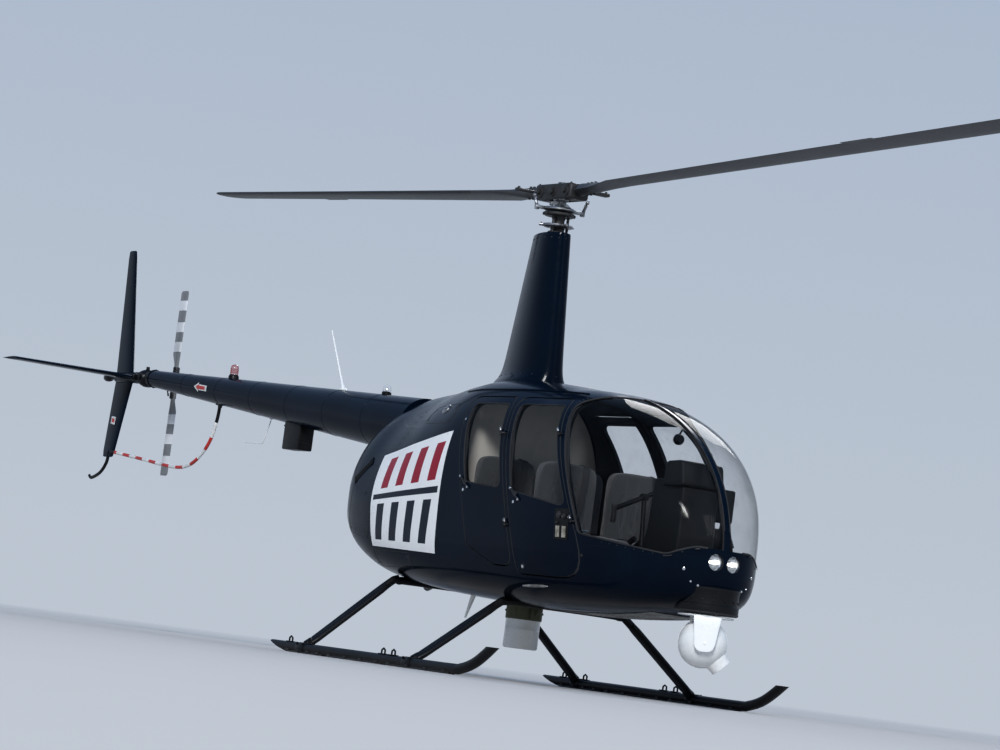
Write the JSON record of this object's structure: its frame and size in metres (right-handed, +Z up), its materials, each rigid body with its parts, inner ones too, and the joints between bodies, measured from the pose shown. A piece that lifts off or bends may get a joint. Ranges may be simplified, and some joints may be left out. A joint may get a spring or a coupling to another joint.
{
  "type": "light helicopter with camera turret",
  "caption": "Light piston helicopter with skids, two-blade teetering rotor, hinged cabin doors, striped tail guard, chin camera turret and belly downlink pod, parked on its skids.",
  "frame": {"origin": "on the ground under the middle of the bounding box, 0.855 m behind the main rotor mast", "axes": "+X to the nose along the longest extent, +Y to port, +Z up along the rotor mast"},
  "size_m": [11.7624, 2.1918, 3.4049],
  "materials": {
    "hull_paint": "gloss, very dark navy",
    "black_paint": "satin black",
    "window_glass": "clear tinted",
    "floor_carpet": "dark grey carpet",
    "seat_fabric": "dark grey cloth",
    "console_plastic": "matt black",
    "rotor_metal": "satin bare metal",
    "blade_paint": "satin dark grey",
    "tail_rotor_paint": "satin light grey with dark bands",
    "engine_metal": "grey",
    "white_shell": "gloss white",
    "olive_band": "satin olive",
    "guard_paint": "red and white bands",
    "red_lens": "red lens",
    "clear_lens": "clear lens"
  },
  "bodies": {
    "root": {"cabin_tub": "hull_paint", "cabin_frame": "hull_paint", "aft_body": "hull_paint", "engine_cowl": "hull_paint", "mast_fairing": "hull_paint", "tail_cone": "hull_paint", "tail_fins": "hull_paint", "stabilizer": "hull_paint", "tail_gearbox": "black_paint", "skid_right": "black_paint", "skid_left": "black_paint", "front_cross_tube": "black_paint", "rear_cross_tube": "black_paint", "turret_mount": "black_paint", "tail_skid": "black_paint", "tail_camera_box": "black_paint", "windshield_right": "window_glass", "windshield_left": "window_glass", "cabin_floor": "floor_carpet", "front_seat_right": "seat_fabric", "front_seat_left": "seat_fabric", "rear_seat_right": "seat_fabric", "rear_seat_left": "seat_fabric", "console": "console_plastic", "cyclic_stick": "console_plastic", "swashplate_lower": "rotor_metal", "engine_block": "engine_metal", "belly_pod": "white_shell", "cone_antenna": "white_shell", "belly_antenna": "white_shell", "pod_bracket": "olive_band", "tail_guard": "guard_paint", "beacon": "red_lens", "strobe": "clear_lens", "landing_lamp_right": "clear_lens", "landing_lamp_left": "clear_lens"},
    "rotor_mast": {"rotor_shaft": "rotor_metal"},
    "rotor_head": {"hub_yoke": "rotor_metal", "blade_fore": "blade_paint", "blade_aft": "blade_paint"},
    "tail_rotor": {"tail_rotor": "tail_rotor_paint"},
    "turret_pan": {"turret_yoke": "white_shell"},
    "turret_tilt": {"camera_ball": "white_shell"},
    "front_door_right": {"front_door_right": "hull_paint", "front_glass_right": "window_glass"},
    "front_door_left": {"front_door_left": "hull_paint", "front_glass_left": "window_glass"},
    "rear_door_right": {"rear_door_right": "hull_paint", "rear_glass_right": "window_glass"},
    "rear_door_left": {"rear_door_left": "hull_paint", "rear_glass_left": "window_glass"}
  },
  "joints": [
    {"name": "main_rotor_spin", "type": "hinge", "parent": "root", "child": "rotor_mast", "pos_m": [0.855, 0, 3], "axis": [0, 0, 1], "continuous": true},
    {"name": "rotor_teeter", "type": "hinge", "parent": "rotor_mast", "child": "rotor_head", "pos_m": [0.855, 0, 3.2], "axis": [0, 1, 0], "range_deg": [-7, 7]},
    {"name": "tail_rotor_spin", "type": "hinge", "parent": "root", "child": "tail_rotor", "pos_m": [-5.038, 0.235, 1.955], "axis": [0, 1, 0], "continuous": true},
    {"name": "front_door_right_hinge", "type": "hinge", "parent": "root", "child": "front_door_right", "pos_m": [2.4396, -0.6, 1.024], "axis": [-0.4981, 0.0404, 0.8662], "range_deg": [0, 75]},
    {"name": "front_door_left_hinge", "type": "hinge", "parent": "root", "child": "front_door_left", "pos_m": [2.4396, 0.6, 1.024], "axis": [0.4981, 0.0404, -0.8662], "range_deg": [0, 75]},
    {"name": "rear_door_right_hinge", "type": "hinge", "parent": "root", "child": "rear_door_right", "pos_m": [1.7658, -0.654, 0.975], "axis": [-0.4029, 0.0605, 0.9133], "range_deg": [0, 75]},
    {"name": "rear_door_left_hinge", "type": "hinge", "parent": "root", "child": "rear_door_left", "pos_m": [1.7658, 0.654, 0.975], "axis": [0.4029, 0.0605, -0.9133], "range_deg": [0, 75]},
    {"name": "turret_pan_turn", "type": "hinge", "parent": "root", "child": "turret_pan", "pos_m": [3.14, 0, 0.55], "axis": [0, 0, 1], "continuous": true},
    {"name": "turret_tilt_turn", "type": "hinge", "parent": "turret_pan", "child": "turret_tilt", "pos_m": [3.14, 0, 0.38], "axis": [-0.866, 0.5, 0], "range_deg": [-65, 75]}
  ],
  "couplings": [
    {"joint": "tail_rotor_spin", "follows": "main_rotor_spin", "ratio": -5.949}
  ]
}
